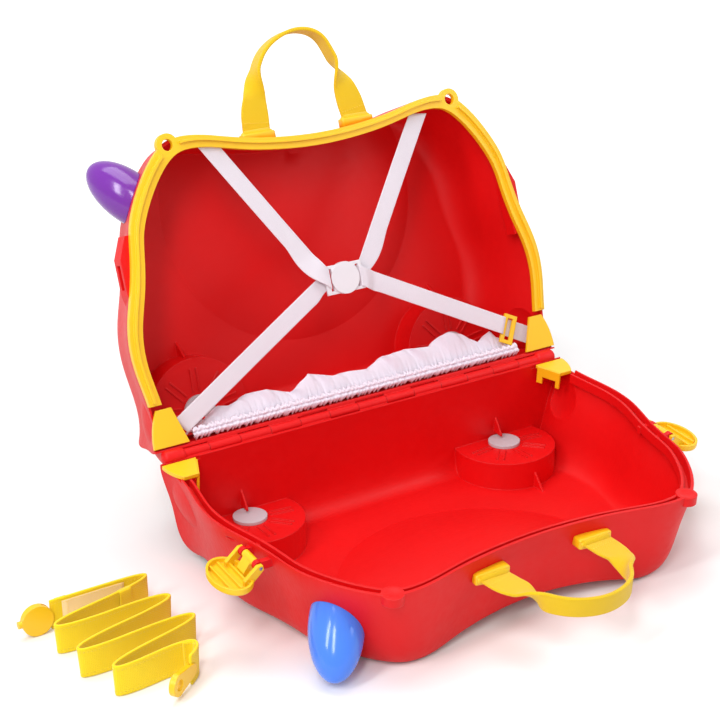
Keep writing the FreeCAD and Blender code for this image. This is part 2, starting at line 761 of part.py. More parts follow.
strap_near = rim + size("trim_thickness") + 0.03
strap_far = strap_near + size("strap_thickness")


def ribbon(start, end, z0):
    """Flat strap between two points of the lid opening."""
    start = Vector(start[0], start[1], z0)
    along = Vector(end[0], end[1], z0) - start
    half = size("strap_width") / 2
    strip = Part.makeBox(along.Length, 2 * half, size("strap_thickness"), Vector(0, -half, 0))
    strip.rotate(Vector(0, 0, 0), Vector(0, 0, 1), math.degrees(math.atan2(along.y, along.x)))
    strip.translate(start)
    return strip


buckle_up = size("buckle_up")
slot = size("buckle_radius") + 1.5
upper_end = (0.535 * half_length, case_height + 1.0)
lower_end = (0.865 * half_length, 26.0)
strap = ribbon((slot - 1, buckle_up + 3), upper_end, strap_near)
strap = strap.fuse(ribbon((slot - 1, buckle_up - 3), lower_end, strap_near))
feature("strap_rear", mirrored(strap), LID)
feature("strap_front", mirrored(swapped(strap)), LID)

buckle = rod(size("buckle_radius"), (0, buckle_up, strap_near - 4.5), (0, buckle_up, strap_near - 0.03))
for side in (-1, 1):
    x0 = side * (size("buckle_radius") + 1)
    bar = box(min(x0, x0 + side * 4), max(x0, x0 + side * 4), buckle_up - 13, buckle_up + 13,
              strap_near - 3, strap_near - 0.03)
    arms = box(min(0, x0 + side * 1), max(0, x0 + side * 1), buckle_up - 13, buckle_up + 13,
               strap_near - 3, strap_near - 0.03)
    slot_hole = box(min(x0 - side * 3, x0), max(x0 - side * 3, x0), buckle_up - 10, buckle_up + 10,
                    strap_near - 4, strap_near)
    buckle = buckle.fuse(bar).fuse(arms).cut(slot_hole)
feature("strap_buckle", mirrored(buckle), LID)

clip_out = box(-7, 7, -14, 14, strap_far + 0.03, strap_far + 2.6)
clip_slot = box(-3, 3, -10.5, 10.5, 0, 30)
clip = clip_out.cut(clip_slot)
clip_turn = math.degrees(math.atan2(lower_end[1] - buckle_up, lower_end[0]))
clip.rotate(Vector(0, 0, 0), Vector(0, 0, 1), clip_turn)
clip.translate(Vector(lower_end[0] - 15, lower_end[1] + 8, 0))
feature("strap_clip", mirrored(clip), LID)


# Gathered pocket along the hinge in the lid

# Heights of the gathered cloth above the hinge axis, by place along the pocket

PEAKS = ((-172, 24), (-150, 34), (-105, 37), (-62, 42), (-22, 39), (26, 46), (66, 43), (88, 52),
         (126, 38), (150, 30), (172, 22))


def pocket_top(x):
    """Height of the gathered cloth along the pocket."""
    for (x0, top0), (x1, top1) in zip(PEAKS, PEAKS[1:]):
        if x <= x1:
            break
    return top0 + (top1 - top0) * ease((x - x0) / (x1 - x0))


def pocket_point(a, b):
    """Cloth that billows up from the hem and falls back to the hinge wall."""
    x = size("pocket_half_length") * (2 * a - 1)
    top = pocket_top(x) - size("pocket_foot") - 2.0
    turn = math.pi * b
    fold = 1.6 * math.cos(0.30 * x) * math.sin(turn)
    out = 10.8 + 32.0 * (1 - math.cos(turn)) / 2
    foot = size("pocket_foot") - 5.3 * b
    return Vector(x, foot + top * math.sin(turn) ** 0.8 + fold, out)


feature("pocket_cloth", mirrored(cloth(pocket_point, 60, 10, 1.2)), LID)


def hem():
    """Ruffled elastic edge of the pocket beside the hinge."""
    wires = []
    steps = 64
    for i in range(steps + 1):
        x = size("pocket_half_length") * (2 * i / steps - 1)
        sway = 0.9 * math.cos(math.pi * i)
        points = [Vector(x, 9.6, 6.4 + sway), Vector(x, 13.6, 3.4 + sway), Vector(x, 18.2, 5.4 + sway),
                  Vector(x, 16.4, 7.9 + 0.3 * sway), Vector(x, 12.4, 8.2 + 0.3 * sway)]
        curve = Part.BSplineCurve()
        curve.interpolate(points, PeriodicFlag=True)
        wires.append(Part.Wire(curve.toShape()))
    return Part.makeLoft(wires, True, False)


feature("pocket_hem", mirrored(hem()), LID)

# Tow strap lying folded on the floor beside the case, in floor coordinates

setback = size("hinge_setback")
FOLDS = ((-332, -41), (-250, -38), (-249, -51), (-341, -71), (-342, -84), (-249, -79), (-248, -92),
         (-340, -113), (-340, -126), (-246, -117), (-245, -130), (-328, -151), (-328, -163),
         (-264, -153), (-261, -166), (-275, -176))
fold_points = [Vector(x, setback + y, 0) for x, y in FOLDS]
tow_middle = size("tow_width") / 2


def rounded_path(points):
    """Straight runs joined by arcs as large as the runs allow."""
    edges = []
    start = points[0]
    for before, at, after in zip(points, points[1:], points[2:]):
        come = (at - before).normalize()
        go = (after - at).normalize()
        bend = come.getAngle(go)
        cut = 0.45 * min((at - before).Length, (after - at).Length)
        radius = cut / math.tan(bend / 2)
        inward = (go - come).normalize()
        middle = at + inward * (radius / math.cos(bend / 2) - radius)
        edges.append(Part.makeLine(start, at - come * cut))
        edges.append(Part.Arc(at - come * cut, middle, at + go * cut).toShape())
        start = at + go * cut
    edges.append(Part.makeLine(start, points[-1]))
    return Part.Wire(edges)


def tow_strap():
    """Webbing standing on its edge along the folds."""
    path = rounded_path(fold_points)
    half = size("tow_thickness") / 2
    first = path.Edges[0]
    along = (first.Vertexes[1].Point - first.Vertexes[0].Point).normalize()
    side = Vector(-along.y, along.x, 0) * half
    start = fold_points[0]
    tall = Vector(0, 0, size("tow_width"))
    profile = Part.makePolygon([start + side, start - side, start - side + tall, start + side + tall,
                                start + side])
    return path.makePipeShell([profile], True, False, 2)


IDENTITY = FreeCAD.Placement()
feature("tow_webbing", tow_strap(), IDENTITY)

clip_point = fold_points[0] + Vector(-size("tow_clip_radius") + 1.0, 0, size("tow_width") / 2)
tow_clip = rod(size("tow_clip_radius"), (clip_point.x, clip_point.y - 4.5, clip_point.z),
               (clip_point.x, clip_point.y + 1.5, clip_point.z))
tow_clip = tow_clip.fuse(rod(4.6, (clip_point.x, clip_point.y + 1, clip_point.z),
                             (clip_point.x, clip_point.y + 9, clip_point.z)))
gate = box(clip_point.x + 5, fold_points[0].x + 9, clip_point.y - 1.16, clip_point.y + 1.16, -1, 40)
nub_end = clip_point.x - size("tow_clip_radius") - 3.0
tow_clip = tow_clip.fuse(rod(3.0, (clip_point.x, clip_point.y - 1.5, clip_point.z),
                             (nub_end, clip_point.y - 1.5, clip_point.z)))
tow_clip = tow_clip.cut(gate)
feature("tow_clip", tow_clip, IDENTITY)

end_run = (fold_points[-1] - fold_points[-2]).normalize()
tab = Part.makeCylinder(9.0, 5.0, Vector(0, 0, 0)).fuse(Part.makeCylinder(5.5, 5.0, Vector(-21, 0, 0)))
tab = tab.fuse(plate(((0, -9), (-21, -5.5), (-21, 5.5), (0, 9)), 0, 5))
tab = tab.cut(Part.makeCylinder(4.6, 20.0, Vector(0, 0, -5)))
tab = tab.cut(box(-40, -19, -20, 20, 2.5 - size("tow_thickness") / 2 - 0.03,
                  2.5 + size("tow_thickness") / 2 + 0.03))
tab.translate(Vector(25, 0, -2.5))
tab.rotate(Vector(0, 0, 0), Vector(1, 0, 0), 90)
tab.rotate(Vector(0, 0, 0), Vector(0, 0, 1), math.degrees(math.atan2(end_run.y, end_run.x)))
tab.translate(fold_points[-1] - end_run * 4 + Vector(0, 0, tow_middle))
feature("tow_hook", tab, IDENTITY)

# Check and write every piece

doc.recompute()
os.makedirs("parts", exist_ok=True)
for obj in doc.Objects:
    state = " ".join(obj.State)
    if "Invalid" in state or "Error" in state:
        raise RuntimeError("%s: %s" % (obj.Label, state))
for obj in made:
    shape = obj.Shape
    if shape.isNull() or not shape.isValid() or len(shape.Solids) != 1:
        raise RuntimeError("%s is not one valid solid" % obj.Label)
    shape.exportStep("parts/%s.step" % obj.Label)
    bounds = shape.BoundBox
    print("%-20s %9.0f mm3  x %7.1f %7.1f  y %7.1f %7.1f  z %7.1f %7.1f" % (
        obj.Label, shape.Volume, bounds.XMin, bounds.XMax, bounds.YMin, bounds.YMax,
        bounds.ZMin, bounds.ZMax))
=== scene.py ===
import json
import math

import bmesh
import bpy
from mathutils import Matrix, Vector


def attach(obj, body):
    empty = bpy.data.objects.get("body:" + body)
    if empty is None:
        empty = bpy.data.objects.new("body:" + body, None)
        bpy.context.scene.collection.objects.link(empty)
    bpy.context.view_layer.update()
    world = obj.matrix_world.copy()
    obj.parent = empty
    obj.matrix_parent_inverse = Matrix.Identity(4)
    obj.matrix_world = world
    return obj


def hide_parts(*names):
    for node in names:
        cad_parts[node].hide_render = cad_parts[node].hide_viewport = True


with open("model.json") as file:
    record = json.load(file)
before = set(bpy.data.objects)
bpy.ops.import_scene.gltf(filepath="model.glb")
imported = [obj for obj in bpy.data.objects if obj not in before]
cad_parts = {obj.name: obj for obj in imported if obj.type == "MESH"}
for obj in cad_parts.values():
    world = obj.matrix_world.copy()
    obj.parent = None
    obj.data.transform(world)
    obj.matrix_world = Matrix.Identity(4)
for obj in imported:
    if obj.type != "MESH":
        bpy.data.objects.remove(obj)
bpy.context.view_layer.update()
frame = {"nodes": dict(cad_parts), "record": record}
record = frame["record"]
scene = bpy.context.scene

# Case frame in millimetres: x along the hinge, v up from the hinge in a half, w out of a half

MM = 0.001
joints = {joint["name"]: joint for joint in record["behaviour"]["joints"]}
HINGE = Vector(joints["lid_hinge"]["pos_m"])
OPEN = math.radians(joints["lid_hinge"]["range_deg"][1])
LATCH_AXIS = joints["latch_front_pivot"]["axis"]
LEAN = math.atan2(LATCH_AXIS[2], LATCH_AXIS[1])


def half_point(turn, x, v, w):
    """Place of a point of a half that is turned about the hinge from lying flat."""
    y = -v * math.cos(turn) + w * math.sin(turn)
    z = v * math.sin(turn) + w * math.cos(turn)
    return HINGE + Vector((x, y, z)) * MM


def base_point(x, v, w):
    """Point of the base half, which leans because its side panel tapers."""
    return half_point(-LEAN, x, v, -w)


def lid_point(x, v, w):
    """Point of the open lid."""
    return half_point(OPEN - LEAN, x, v, w)


def ease(value):
    """Smooth step from 0 to 1."""
    value = max(0.0, min(1.0, value))
    return value * value * (3 - 2 * value)


# Camera at the photograph's angle, placed from the hinge of a case that does not lean

CAMERA_PLACE = Vector((-0.7125, -1.0671, 0.6833))
CAMERA_YAW, CAMERA_PITCH, CAMERA_ROLL = math.radians(33.229), math.radians(26.496), math.radians(2.170)
CAMERA_LENS, SENSOR_WIDTH = 80.73, 36.0
CAMERA_REACH = 30.0


def add_camera():
    """Camera that looks along its yaw and pitch, rolled about its own axis."""
    flat = math.cos(CAMERA_PITCH)
    ahead = Vector((math.sin(CAMERA_YAW) * flat, math.cos(CAMERA_YAW) * flat, -math.sin(CAMERA_PITCH)))
    right = Vector((math.cos(CAMERA_YAW), -math.sin(CAMERA_YAW), 0.0))
    up = right.cross(ahead)
    right, up = (right * math.cos(CAMERA_ROLL) + up * math.sin(CAMERA_ROLL),
                 up * math.cos(CAMERA_ROLL) - right * math.sin(CAMERA_ROLL))
    data = bpy.data.cameras.new("camera")
    data.lens = CAMERA_LENS
    data.sensor_width = SENSOR_WIDTH
    data.clip_end = CAMERA_REACH
    camera = bpy.data.objects.new("camera", data)
    turn = Matrix((right, up, -ahead)).transposed().to_4x4()
    about_hinge = Matrix.Translation(HINGE) @ Matrix.Rotation(LEAN, 4, "X")
    camera.matrix_world = about_hinge @ Matrix.Translation(CAMERA_PLACE) @ turn
    scene.collection.objects.link(camera)
    scene.camera = camera


add_camera()

# Light: a world that is white where it is seen, and soft lamps

PURE_WHITE = (1.0, 1.0, 1.0, 1.0)
WORLD_LIGHT, WORLD_SEEN = 0.40, 1.0

# Name, place, height of the point on the case that it is aimed at, width, height and power in watts
LAMPS = (
    ("key_left", (-2.0, -0.45, 1.9), 0.10, 0.4, 1.5, 26.0),
    ("key_right", (-1.35, -1.45, 1.9), 0.10, 0.4, 1.5, 27.0),
    ("fill", (1.8, -1.2, 1.4), 0.15, 1.3, 1.3, 14.0),
    ("top", (-0.1, 0.5, 2.4), 0.10, 1.6, 1.6, 29.0),
)

scene.view_settings.view_transform = "Standard"


def seen_directly(tree):
    """1 for camera, glossy and transmission rays, 0 for the light that reaches other surfaces."""
    path = tree.nodes.new("ShaderNodeLightPath")
    total = path.outputs["Is Camera Ray"]
    for name in ("Is Glossy Ray", "Is Transmission Ray"):
        both = tree.nodes.new("ShaderNodeMath")
        both.operation = "MAXIMUM"
        tree.links.new(total, both.inputs[0])
        tree.links.new(path.outputs[name], both.inputs[1])
        total = both.outputs[0]
    return total


def add_world():
    """White world that lights the object less strongly than it is seen."""
    world = bpy.data.worlds.new("studio")
    scene.world = world
    world.use_nodes = True
    tree = world.node_tree
    sky = tree.nodes["Background"]
    sky.inputs["Color"].default_value = PURE_WHITE
    strength = tree.nodes.new("ShaderNodeMapRange")
    strength.inputs["To Min"].default_value = WORLD_LIGHT
    strength.inputs["To Max"].default_value = WORLD_SEEN
    tree.links.new(seen_directly(tree), strength.inputs["Value"])
    tree.links.new(strength.outputs["Result"], sky.inputs["Strength"])


def area_light(name, place, aim_height, width, height, watts):
    """Soft lamp aimed at a point above the middle of the floor."""
    data = bpy.data.lights.new(name, "AREA")
    data.shape = "RECTANGLE"
    data.size = width
    data.size_y = height
    data.energy = watts
    lamp = bpy.data.objects.new(name, data)
    lamp.location = place
    aim = Vector((0, 0, aim_height)) - Vector(place)
    lamp.rotation_euler = aim.to_track_quat("-Z", "Y").to_euler()
    scene.collection.objects.link(lamp)


add_world()
for row in LAMPS:
    area_light(*row)

# Materials


def srgb(red, green, blue):
    """Colour written as screen values from 0 to 255, as linear light."""
    linear = []
    for value in (red, green, blue):
        share = value / 255.0
        linear.append(share / 12.92 if share <= 0.04045 else ((share + 0.055) / 1.055) ** 2.4)
    return (*linear, 1.0)


def shade_of(colour, factor):
    """Lighter or darker version of a colour."""
    return (*[min(1.0, channel * factor) for channel in colour[:3]], 1.0)


class Material:
    """Principled material that is put together from a few texture nodes."""

    def __init__(self, name, colour, roughness):
        self.data = bpy.data.materials.new(name)
        self.data.use_nodes = True
        self.tree = self.data.node_tree
        self.shader = self.tree.nodes["Principled BSDF"]
        self.set("Base Color", colour)
        self.set("Roughness", roughness)
        self.colour = colour
        self.normal = None

    def set(self, socket, value):
        """Sets a value of the shader that is the same all over the surface."""
        self.shader.inputs[socket].default_value = value

    def add(self, kind, **settings):
        """New node with its settings."""
        made = self.tree.nodes.new(kind)
        for key, value in settings.items():
            setattr(made, key, value)
        return made

    def join(self, source, target):
        """Links two sockets."""
        self.tree.links.new(source, target)

    def math(self, operation, first, second=None):
        """Math node fed by sockets or plain numbers."""
        made = self.add("ShaderNodeMath", operation=operation)
        for value, socket in ((first, made.inputs[0]), (second, made.inputs[1])):
            if value is None:
                continue
            if isinstance(value, (int, float)):
                socket.default_value = value
            else:
                self.join(value, socket)
        return made.outputs[0]

    def spread(self, value, before, after):
        """Maps a value from one range to another."""
        made = self.add("ShaderNodeMapRange")
        made.inputs["From Min"].default_value, made.inputs["From Max"].default_value = before
        made.inputs["To Min"].default_value, made.inputs["To Max"].default_value = after
        self.join(value, made.inputs["Value"])
        return made.outputs["Result"]

    def noise(self, scale, detail=3.0, stretch=(1.0, 1.0, 1.0)):
        """Noise by place on the object, between 0 and 1, with its scale in waves a metre."""
        made = self.add("ShaderNodeTexNoise")
        made.inputs["Scale"].default_value = scale
        made.inputs["Detail"].default_value = detail
        scaled = self.add("ShaderNodeMapping")
        scaled.inputs["Scale"].default_value = stretch
        self.join(self.add("ShaderNodeTexCoord").outputs["Object"], scaled.inputs["Vector"])
        self.join(scaled.outputs["Vector"], made.inputs["Vector"])
        return made.outputs["Fac"]

    def blend(self, share, under, over):
        """Mixes two colours, each a socket or a plain colour, by a share."""
        mix = self.add("ShaderNodeMix", data_type="RGBA")
        sockets = [socket for socket in mix.inputs if socket.type == "RGBA"]
        for value, socket in ((under, sockets[0]), (over, sockets[1])):
            if isinstance(value, tuple):
                socket.default_value = value
            else:
                self.join(value, socket)
        self.join(share, mix.inputs["Factor"])
        return [socket for socket in mix.outputs if socket.type == "RGBA"][0]

    def tint(self, share, dark, light):
        """Mixes a darker and a lighter shade of the base colour."""
        return self.blend(share, shade_of(self.colour, dark), shade_of(self.colour, light))

    def soften(self, radius):
        """Rounds sharp edges in the shading and returns how much edge there is."""
        bevel = self.add("ShaderNodeBevel", samples=6)
        bevel.inputs["Radius"].default_value = radius
        self.normal = bevel.outputs["Normal"]
        flat = self.add("ShaderNodeNewGeometry")
        dot = self.add("ShaderNodeVectorMath", operation="DOT_PRODUCT")
        self.join(bevel.outputs["Normal"], dot.inputs[0])
        self.join(flat.outputs["Normal"], dot.inputs[1])
        return self.spread(dot.outputs["Value"], (0.97, 0.75), (0.0, 1.0))

    def bump(self, height, distance, strength=1.0):
        """Adds relief in metres on top of what is there."""
        made = self.add("ShaderNodeBump")
        made.inputs["Distance"].default_value = distance
        made.inputs["Strength"].default_value = strength
        self.join(height, made.inputs["Height"])
        if self.normal is not None:
            self.join(self.normal, made.inputs["Normal"])
        self.normal = made.outputs["Normal"]

    def done(self, colour, roughness):
        """Wires the finished sockets into the shader."""
        self.join(colour, self.shader.inputs["Base Color"])
        self.join(roughness, self.shader.inputs["Roughness"])
        if self.normal is not None:
            self.join(self.normal, self.shader.inputs["Normal"])
        return self.data


MOULD_GRAIN, POLISHED_GRAIN = 0.03 * MM, 0.005 * MM
PLASTIC_EDGE, STEEL_EDGE, RUBBER_EDGE = 0.9 * MM, 0.4 * MM, 0.8 * MM


def moulded_plastic(name, colour, roughness, grain=MOULD_GRAIN, coat=0.0, shine=0.5):
    """Injection-moulded plastic: faint mottling, fine grain, scuffs, and edges paled partly as wear and
    partly as a painted highlight.
    """
    made = Material(name, colour, roughness)
    edge = made.soften(PLASTIC_EDGE)
    mottle = made.spread(made.noise(scale=11.0, detail=4.0), (0.3, 0.7), (0.0, 1.0))
    # Paler edges in patches: partly wear, partly a painted highlight along the edges
    wear_and_highlight = made.spread(made.noise(scale=70.0), (0.4, 0.7), (0.02, 0.22))
    pale_wear_and_highlight = (*[0.6 * channel + 0.4 * max(colour[:3]) for channel in colour[:3]], 1.0)
    shade = made.blend(made.math("MULTIPLY", edge, wear_and_highlight), made.tint(mottle, 0.95, 1.04), pale_wear_and_highlight)
    made.bump(made.noise(scale=1500.0, detail=2.0), grain)
    made.bump(made.noise(scale=16.0, detail=2.0), 0.4 * MM, strength=0.12)
    made.set("Specular IOR Level", shine)
    made.set("Coat Weight", coat)
    made.set("Coat Roughness", 0.08)
    scuffs = made.noise(scale=130.0, detail=6.0, stretch=(1.0, 5.0, 1.0))
    return made.done(shade, made.spread(scuffs, (0.35, 0.75), (roughness - 0.04, roughness + 0.10)))


def steel(name):
    """Turned bright steel with fine rings of tool marks."""
    made = Material(name, srgb(190, 188, 190), 0.34)
    made.set("Metallic", 1.0)
    made.soften(STEEL_EDGE)
    made.bump(made.noise(scale=900.0, detail=2.0, stretch=(1.0, 0.08, 1.0)), 0.02 * MM)
    shade = made.tint(made.noise(scale=160.0), 0.85, 1.05)
    return made.done(shade, made.spread(made.noise(scale=240.0), (0.3, 0.7), (0.26, 0.44)))


def rubber(name):
    """Dusty black tyre rubber."""
    made = Material(name, srgb(42, 42, 45), 0.72)
    made.soften(RUBBER_EDGE)
    dust = made.spread(made.noise(scale=46.0, detail=6.0), (0.4, 0.75), (0.0, 0.3))
    made.bump(made.noise(scale=1400.0), 0.06 * MM)
    shade = made.blend(dust, made.tint(made.noise(scale=30.0), 0.85, 1.15), srgb(96, 94, 92))
    return made.done(shade, made.spread(made.noise(scale=80.0), (0.3, 0.7), (0.62, 0.85)))


def woven(name, colour, along, across, relief, valley_shade):
    """Woven cloth: threads of a width over and under each other, by length and width of the piece, with
    painted shade in the hollows between the threads.
    """
    made = Material(name, colour, 0.8)
    made.set("Sheen Weight", 0.25)
    made.set("Sheen Roughness", 0.5)
    made.set("Specular IOR Level", 0.25)
    split = made.add("ShaderNodeSeparateXYZ")
    made.join(made.add("ShaderNodeUVMap", uv_map="weave").outputs["UV"], split.inputs["Vector"])
    warp = made.math("SINE", made.math("MULTIPLY", split.outputs["X"], math.pi / along))
    weft = made.math("SINE", made.math("MULTIPLY", split.outputs["Y"], math.pi / across))
    over = made.math("GREATER_THAN", made.math("MULTIPLY", warp, weft), 0.0)
    warp_height = made.math("ABSOLUTE", warp)
    weft_height = made.math("ABSOLUTE", weft)
    gain = made.math("MULTIPLY", over, made.math("SUBTRACT", warp_height, weft_height))
    height = made.math("ADD", weft_height, gain)
    fuzz = made.noise(scale=900.0)
    made.bump(height, relief)
    made.bump(fuzz, 0.1 * MM, strength=0.6)
    # Low parts of the weave darkened: painted shade in the hollows between the threads
    shade = made.tint(made.spread(height, (0.0, 0.8), (0.0, 1.0)), valley_shade, 1.03)
    cloudy = made.spread(made.noise(scale=28.0, detail=4.0), (0.3, 0.75), (0.0, 0.16))
    shade = made.blend(cloudy, shade, shade_of(colour, 0.8))
    return made.done(shade, made.spread(fuzz, (0.3, 0.7), (0.74, 0.9)))


def white_floor(name):
    """Matt white floor whose far parts glow to stay white where the lamps fade."""
    made = Material(name, srgb(238, 238, 238), 0.85)
    made.set("Specular IOR Level", 0.1)
    made.set("Emission Color", PURE_WHITE)
    distance = made.add("ShaderNodeVectorMath", operation="LENGTH")
    made.join(made.add("ShaderNodeTexCoord").outputs["Object"], distance.inputs[0])
    glow = made.spread(distance.outputs["Value"], (0.4, 2.0), (0.04, 0.65))
    seen = made.math("MULTIPLY", glow, seen_directly(made.tree))
    made.join(seen, made.shader.inputs["Emission Strength"])
    speckle = made.noise(scale=40.0)
    return made.done(made.tint(speckle, 0.99, 1.01), made.spread(speckle, (0.0, 1.0), (0.8, 0.9)))


RED = moulded_plastic("red_shell", srgb(216, 10, 13), 0.46, shine=0.28)
YELLOW = moulded_plastic("yellow_plastic", srgb(242, 194, 20), 0.36)
BLUE = moulded_plastic("blue_horn", srgb(66, 126, 236), 0.16, POLISHED_GRAIN, coat=0.25, shine=0.4)
PURPLE = moulded_plastic("purple_horn", srgb(112, 30, 156), 0.16, POLISHED_GRAIN, coat=0.25, shine=0.4)
GREY = moulded_plastic("grey_disc", srgb(190, 184, 190), 0.45)
WHITE = moulded_plastic("white_plastic", srgb(224, 219, 225), 0.38)
STEEL = steel("steel")
TYRE = rubber("tyre")
# The last number of each woven material sets its painted shade in the hollows of the weave
ELASTIC = woven("white_elastic", srgb(230, 223, 232), 1.1 * MM, 0.8 * MM, relief=0.12 * MM, valley_shade=0.84)
CLOTH = woven("white_cloth", srgb(228, 217, 230), 0.5 * MM, 0.5 * MM, relief=0.04 * MM, valley_shade=0.93)
WEBBING = woven("yellow_webbing", srgb(255, 220, 14), 1.4 * MM, 1.1 * MM, relief=0.22 * MM, valley_shade=0.88)
HANDLE = woven("yellow_handle", srgb(232, 190, 10), 1.2 * MM, 0.9 * MM, relief=0.14 * MM, valley_shade=0.86)
PATCH = woven("blank_patch", srgb(252, 224, 172), 0.5 * MM, 0.5 * MM, relief=0.05 * MM, valley_shade=0.92)
THREAD = woven("yellow_thread", srgb(255, 224, 80), 0.6 * MM, 0.3 * MM, relief=0.1 * MM, valley_shade=0.85)

SLOT_MATERIALS = {
    "red_shell": RED, "yellow_plastic": YELLOW, "yellow_soft": YELLOW, "yellow_webbing": YELLOW,
    "white_cloth": WHITE, "white_plastic": WHITE, "blue_horn": BLUE, "purple_horn": PURPLE,
    "steel": STEEL, "grey_disc": GREY, "tyre": TYRE, "hub": YELLOW,
}
for part in record["subparts"]:
    node = frame["nodes"][part["node"]]
    node.data.materials.clear()
    node.data.materials.append(SLOT_MATERIALS[part["material_slot"]])

# Floor, a hair below what stands on it

FLOOR_SIZE = 14.0
FLOOR_DROP = 0.4 * MM

bpy.ops.mesh.primitive_plane_add(size=FLOOR_SIZE, location=(0, 0, -FLOOR_DROP))
floor = bpy.context.object
floor.name = "floor"
floor.data.materials.append(white_floor("floor_white"))

# Lines and meshes that the pieces share

ROUTE_STEPS = 30
BAND_SIDES, BAND_SQUARENESS = 24, 0.4
BEAD_START, BEAD_RAMP = 0.8, 0.12
STITCH_SIZE = 0.35 * MM
STITCH_HALF_SHARE = 0.36
BAR_SIDES = 20
DOME_STEPS, DOME_LENGTH, DOME_TIP = 5, 0.6, 0.05
WEAVE_LENGTH, WEAVE_HEIGHT = 0.4, 0.1


def add_piece(name, verts, faces, uvs, material, body, slot):
    """New mesh piece with a weave map, riding on a body."""
    mesh = bpy.data.meshes.new(name)
    mesh.from_pydata(verts, [], faces)
    layer = mesh.uv_layers.new(name="weave")
    for loop in mesh.loops:
        layer.data[loop.index].uv = uvs[loop.vertex_index]
    shaped = bmesh.new()
    shaped.from_mesh(mesh)
    bmesh.ops.recalc_face_normals(shaped, faces=shaped.faces)
    shaped.to_mesh(mesh)
    shaped.free()
    mesh.shade_smooth()
    mesh.materials.append(material)
    piece = bpy.data.objects.new(name, mesh)
    scene.collection.objects.link(piece)
    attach(piece, body)
    return piece


def smooth_path(points):
    """Points along the smooth spline that has the given control points."""
    data = bpy.data.curves.new("route", "CURVE")
    data.dimensions = "3D"
    data.resolution_u = ROUTE_STEPS
    spline = data.splines.new("NURBS")
    spline.points.add(len(points) - 1)
    for made, point in zip(spline.points, points):
        made.co = (*point, 1.0)
    spline.order_u = 3
    spline.use_endpoint_u = True
    holder = bpy.data.objects.new("route", data)
    mesh = bpy.data.meshes.new_from_object(holder)
    line = [vertex.co.copy() for vertex in mesh.vertices]
    bpy.data.objects.remove(holder)
    bpy.data.curves.remove(data)
    bpy.data.meshes.remove(mesh)
    return line


def travelled(line):
    """Distance from the start at each point of a line."""
    total = [0.0]
    for before, after in zip(line, line[1:]):
        total.append(total[-1] + (after - before).length)
    return total


def tangents(line):
    """Direction at each point of a line."""
    last = len(line) - 1
    return [(line[min(i + 1, last)] - line[max(i - 1, 0)]).normalized() for i in range(len(line))]


def nearest(run, far):
    """Number of the point whose distance from the start is nearest to a given one."""
    return min(range(len(run)), key=lambda index: abs(run[index] - far))


def power(value, exponent):
    """Power that keeps the sign."""
    return math.copysign(abs(value) ** exponent, value)


def tube_faces(rings, sides):
    """Faces of a closed tube whose points lie ring by ring."""
    faces = []
    for near in range(0, (rings - 1) * sides, sides):
        for j in range(sides):
            following = (j + 1) % sides
            faces.append((near + j, near + following, near + sides + following, near + sides + j))
    faces.append(tuple(range(sides)))
    faces.append(tuple(range((rings - 1) * sides, rings * sides)))
    return faces


def strip(stations, bead=0.0):
    """Closed band through stations of centre, wide, normal, width and thickness, with beaded edges."""
    verts, uvs = [], []
    run = travelled([station[0] for station in stations])
    for (centre, wide, normal, width, thickness), far in zip(stations, run):
        for j in range(BAND_SIDES):
            turn = 2 * math.pi * j / BAND_SIDES
            across = power(math.cos(turn), BAND_SQUARENESS) * width / 2
            out = power(math.sin(turn), BAND_SQUARENESS) * thickness / 2
            out *= 1 + bead * ease((2 * abs(across) / width - BEAD_START) / BEAD_RAMP)
            verts.append(centre + wide * across + normal * out)
            uvs.append((far, across))
    return verts, tube_faces(len(stations), BAND_SIDES), uvs


def bar(start, end, radius):
    """Round bar with domed ends."""
    along = (end - start).normalized()
    side = along.orthogonal().normalized()
    other = along.cross(side)
    length = (end - start).length
    dome = []
    for k in range(DOME_STEPS + 1):
        turn = math.pi / 2 * k / DOME_STEPS
        dome.append((DOME_LENGTH * radius * (1 - math.cos(turn)), radius * max(DOME_TIP, math.sin(turn))))
    rings = dome + [(length - far, wide) for far, wide in reversed(dome)]
    verts, uvs = [], []
    for far, wide in rings:
        for j in range(BAR_SIDES):
            turn = 2 * math.pi * j / BAR_SIDES
            verts.append(start + along * far + (side * math.cos(turn) + other * math.sin(turn)) * wide)
            uvs.append((far, wide * turn))
    return verts, tube_faces(len(rings), BAR_SIDES), uvs


def grid(columns, rows, point_at):
    """Sheet of faces over a function of two shares, with a weave map of one size for every sheet."""
    verts, faces, uvs = [], [], []
    for i in range(columns + 1):
        for j in range(rows + 1):
            verts.append(point_at(i / columns, j / rows))
            uvs.append((WEAVE_LENGTH * i / columns, WEAVE_HEIGHT * j / rows))
    for i in range(columns):
        for j in range(rows):
            near = i * (rows + 1) + j
            faces.append((near, near + 1, near + rows + 2, near + rows + 1))
    return verts, faces, uvs


def stitches(line, outs, spacing):
    """Row of sewn stitches along a line, each a small bead that lies on the cloth."""
    verts, faces, uvs = [], [], []
    run = travelled(line)
    ways = tangents(line)
    count = max(1, int(run[-1] / spacing))
    at = 0
    for k in range(count):
        far = (k + 0.5) * run[-1] / count
        while run[at + 1] < far:
            at += 1
        share = (far - run[at]) / (run[at + 1] - run[at])
        centre = line[at].lerp(line[at + 1], share)
        along = ways[at] * (STITCH_HALF_SHARE * spacing)
        out = outs[at].normalized() * STITCH_SIZE
        side = ways[at].cross(outs[at]).normalized() * STITCH_SIZE
        first = len(verts)
        verts += [centre - along, centre - side, centre + out, centre + side, centre - out, centre + along]
        uvs += [(far, j * STITCH_SIZE) for j in range(6)]
        for j in range(4):
            faces.append((first, first + 1 + j, first + 1 + (j + 1) % 4))
            faces.append((first + 5, first + 1 + (j + 1) % 4, first + 1 + j))
    return verts, faces, uvs


